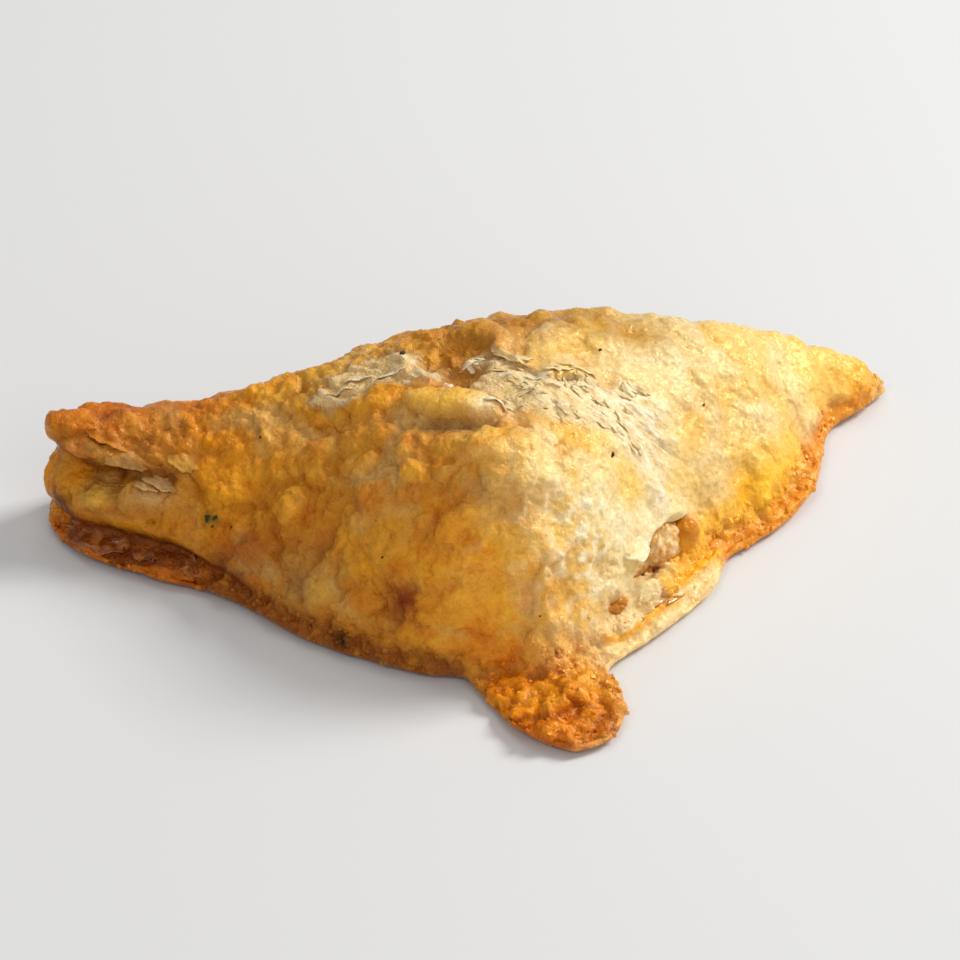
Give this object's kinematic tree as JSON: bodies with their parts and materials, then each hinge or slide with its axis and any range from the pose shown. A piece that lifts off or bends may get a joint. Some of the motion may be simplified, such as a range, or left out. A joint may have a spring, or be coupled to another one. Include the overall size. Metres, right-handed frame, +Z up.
{
  "type": "pate chaud",
  "caption": "Triangular folded puff-pastry turnover with pressed rims, open layered left corner, a torn right flank and the meat filling that shows in the tear.",
  "frame": {"origin": "middle of the bounding box's underside, on the table", "axes": "+X along the fold from the thick open corner to the thin one, -Y towards the square's own corner, +Z up"},
  "size_m": [0.1496, 0.0936, 0.0367],
  "materials": {
    "pastry": "baked puff pastry, golden brown with cream torn layers, satin where glazed",
    "filling": "cooked minced meat and onion, moist"
  },
  "bodies": {
    "root": {"crust": "pastry", "filling": "filling"}
  },
  "joints": []
}
